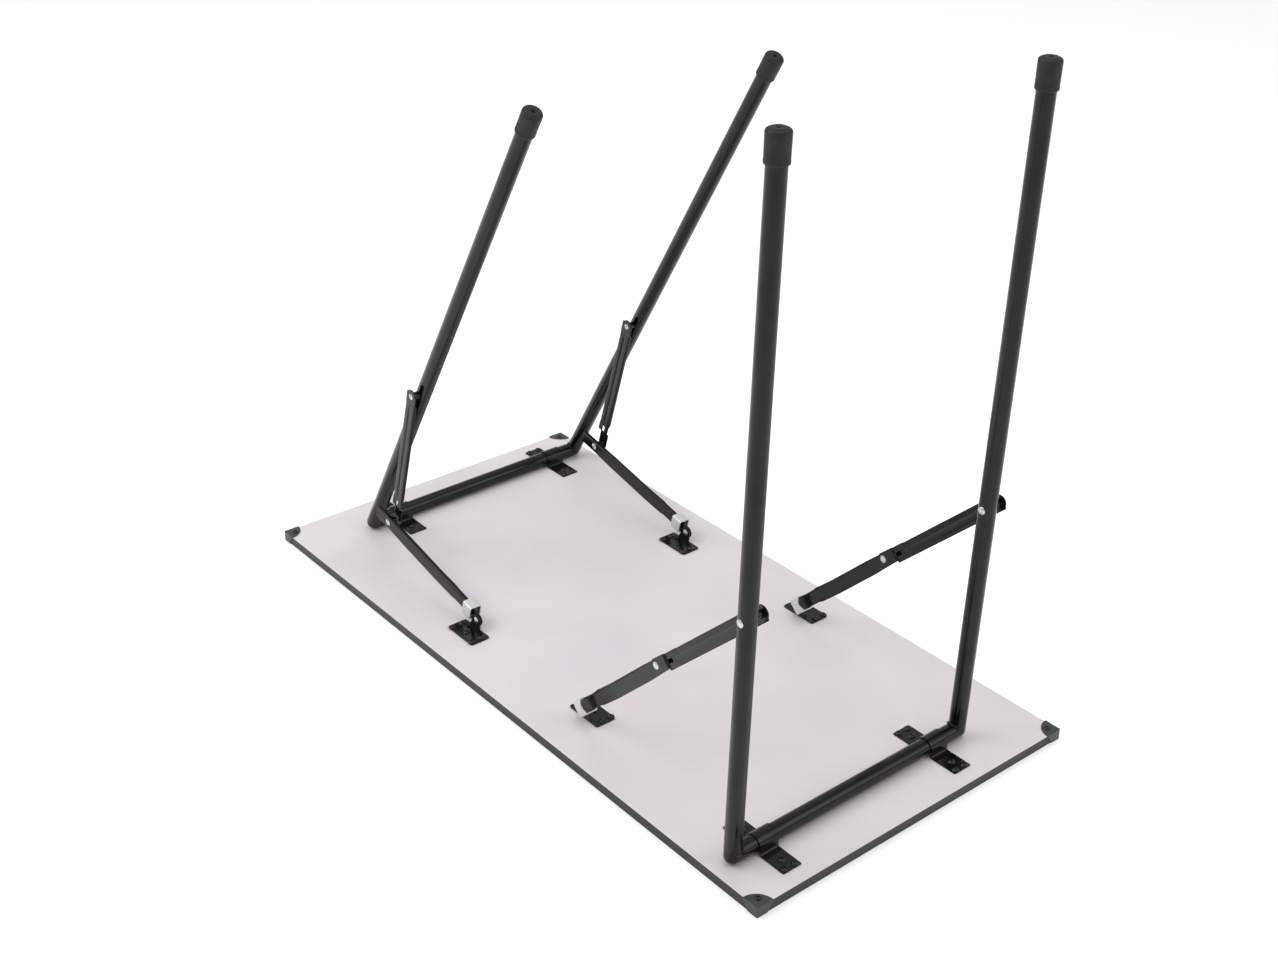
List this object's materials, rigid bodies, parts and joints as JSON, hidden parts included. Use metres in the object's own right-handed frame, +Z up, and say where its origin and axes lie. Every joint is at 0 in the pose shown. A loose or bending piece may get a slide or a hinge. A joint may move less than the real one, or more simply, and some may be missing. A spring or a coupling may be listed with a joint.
{
  "type": "folding table",
  "caption": "Rectangular folding table, stored upside down, with two tubular leg frames on hinged crossbars, toggle braces and locking collars; one frame is erect and one part folded.",
  "frame": {"origin": "centre of the board's footprint, on the working face that lies down at z = 0", "axes": "+Z up from the working face towards the feet, because the table is stored lying upside down; +X along the board towards the erect leg frame, -Y towards the near long side. Turned half a turn about X, the table stands on its feet."},
  "size_m": [0.912, 0.452, 0.7644],
  "materials": {
    "laminate": "smooth pale lilac white laminate",
    "core": "particle board core",
    "edge_band": "dark grey edge band",
    "corner_plastic": "moulded slate grey plastic, light grain",
    "painted_steel": "gloss black baked enamel",
    "foot_rubber": "dull black rubber",
    "zinc": "dull zinc plate",
    "rivets": "bright zinc plated rivets",
    "screws": "black oxide screws"
  },
  "bodies": {
    "board": {"worktop_laminate": "laminate", "board_core": "core", "underside_laminate": "laminate", "edge_band": "edge_band", "near_left_corner_protector": "corner_plastic", "near_right_corner_protector": "corner_plastic", "far_left_corner_protector": "corner_plastic", "far_right_corner_protector": "corner_plastic", "corner_screws": "screws", "left_near_saddle": "painted_steel", "left_far_saddle": "painted_steel", "right_near_saddle": "painted_steel", "right_far_saddle": "painted_steel", "saddle_screws": "screws", "left_near_bracket": "painted_steel", "left_far_bracket": "painted_steel", "right_near_bracket": "painted_steel", "right_far_bracket": "painted_steel", "bracket_screws": "screws", "bracket_rivets": "rivets"},
    "left_leg_frame": {"left_near_leg": "painted_steel", "left_far_leg": "painted_steel", "left_crossbar": "painted_steel", "left_weld_beads": "painted_steel", "left_near_foot_cap": "foot_rubber", "left_far_foot_cap": "foot_rubber", "left_leg_rivets": "rivets"},
    "right_leg_frame": {"right_near_leg": "painted_steel", "right_far_leg": "painted_steel", "right_crossbar": "painted_steel", "right_weld_beads": "painted_steel", "right_near_foot_cap": "foot_rubber", "right_far_foot_cap": "foot_rubber", "right_leg_rivets": "rivets"},
    "left_near_lower_link": {"left_near_lower_link": "painted_steel", "left_near_lower_knee_rivet": "rivets"},
    "left_near_upper_link": {"left_near_upper_link": "painted_steel", "left_near_upper_knee_rivet": "rivets"},
    "left_near_collar": {"left_near_collar": "zinc"},
    "left_far_lower_link": {"left_far_lower_link": "painted_steel", "left_far_lower_knee_rivet": "rivets"},
    "left_far_upper_link": {"left_far_upper_link": "painted_steel", "left_far_upper_knee_rivet": "rivets"},
    "left_far_collar": {"left_far_collar": "zinc"},
    "right_near_lower_link": {"right_near_lower_link": "painted_steel", "right_near_lower_knee_rivet": "rivets"},
    "right_near_upper_link": {"right_near_upper_link": "painted_steel", "right_near_upper_knee_rivet": "rivets"},
    "right_near_collar": {"right_near_collar": "zinc"},
    "right_far_lower_link": {"right_far_lower_link": "painted_steel", "right_far_lower_knee_rivet": "rivets"},
    "right_far_upper_link": {"right_far_upper_link": "painted_steel", "right_far_upper_knee_rivet": "rivets"},
    "right_far_collar": {"right_far_collar": "zinc"}
  },
  "joints": [
    {"name": "left_leg_fold", "type": "hinge", "parent": "board", "child": "left_leg_frame", "pos_m": [-0.391, 0.036, 0.0215], "axis": [0, 1, 0], "range_deg": [-32, 59.3]},
    {"name": "right_leg_fold", "type": "hinge", "parent": "board", "child": "right_leg_frame", "pos_m": [0.391, -0.036, 0.0215], "axis": [0, -1, 0], "range_deg": [0, 91.3]},
    {"name": "left_near_lower_link_pivot", "type": "hinge", "parent": "board", "child": "left_near_lower_link", "pos_m": [-0.109, -0.128, 0.025], "axis": [0, 1, 0], "range_deg": [-14.16, 7.66]},
    {"name": "left_near_upper_link_pivot", "type": "hinge", "parent": "left_leg_frame", "child": "left_near_upper_link", "pos_m": [-0.24889, -0.128, 0.26276], "axis": [0, 1, 0], "range_deg": [-8.69, 16.06]},
    {"name": "left_near_collar_slide", "type": "slide", "parent": "left_near_lower_link", "child": "left_near_collar", "axis": [-0.974, 0, 0.2268], "range_m": [-0.0047, 0.0193]},
    {"name": "left_far_lower_link_pivot", "type": "hinge", "parent": "board", "child": "left_far_lower_link", "pos_m": [-0.109, 0.2, 0.025], "axis": [0, 1, 0], "range_deg": [-14.16, 7.66]},
    {"name": "left_far_upper_link_pivot", "type": "hinge", "parent": "left_leg_frame", "child": "left_far_upper_link", "pos_m": [-0.24889, 0.2, 0.26276], "axis": [0, 1, 0], "range_deg": [-8.69, 16.06]},
    {"name": "left_far_collar_slide", "type": "slide", "parent": "left_far_lower_link", "child": "left_far_collar", "axis": [-0.974, 0, 0.2268], "range_m": [-0.0047, 0.0193]},
    {"name": "right_near_lower_link_pivot", "type": "hinge", "parent": "board", "child": "right_near_lower_link", "pos_m": [0.109, -0.2, 0.025], "axis": [0, -1, 0], "range_deg": [-44.64, 0]},
    {"name": "right_near_upper_link_pivot", "type": "hinge", "parent": "right_leg_frame", "child": "right_near_upper_link", "pos_m": [0.39833, -0.2, 0.3014], "axis": [0, -1, 0], "range_deg": [0, 46.58]},
    {"name": "right_near_collar_slide", "type": "slide", "parent": "right_near_lower_link", "child": "right_near_collar", "axis": [0.7133, 0, 0.7008], "range_m": [0, 0.024]},
    {"name": "right_far_lower_link_pivot", "type": "hinge", "parent": "board", "child": "right_far_lower_link", "pos_m": [0.109, 0.128, 0.025], "axis": [0, -1, 0], "range_deg": [-44.64, 0]},
    {"name": "right_far_upper_link_pivot", "type": "hinge", "parent": "right_leg_frame", "child": "right_far_upper_link", "pos_m": [0.39833, 0.128, 0.3014], "axis": [0, -1, 0], "range_deg": [0, 46.58]},
    {"name": "right_far_collar_slide", "type": "slide", "parent": "right_far_lower_link", "child": "right_far_collar", "axis": [0.7133, 0, 0.7008], "range_m": [0, 0.024]}
  ],
  "couplings": [
    {"joint": "left_near_lower_link_pivot", "follows": "left_leg_fold", "ratio": -0.2379},
    {"joint": "left_near_upper_link_pivot", "follows": "left_leg_fold", "ratio": 0.27},
    {"joint": "left_far_lower_link_pivot", "follows": "left_leg_fold", "ratio": -0.2379},
    {"joint": "left_far_upper_link_pivot", "follows": "left_leg_fold", "ratio": 0.27},
    {"joint": "right_near_lower_link_pivot", "follows": "right_leg_fold", "ratio": -0.4884},
    {"joint": "right_near_upper_link_pivot", "follows": "right_leg_fold", "ratio": 0.5096},
    {"joint": "right_far_lower_link_pivot", "follows": "right_leg_fold", "ratio": -0.4884},
    {"joint": "right_far_upper_link_pivot", "follows": "right_leg_fold", "ratio": 0.5096}
  ]
}
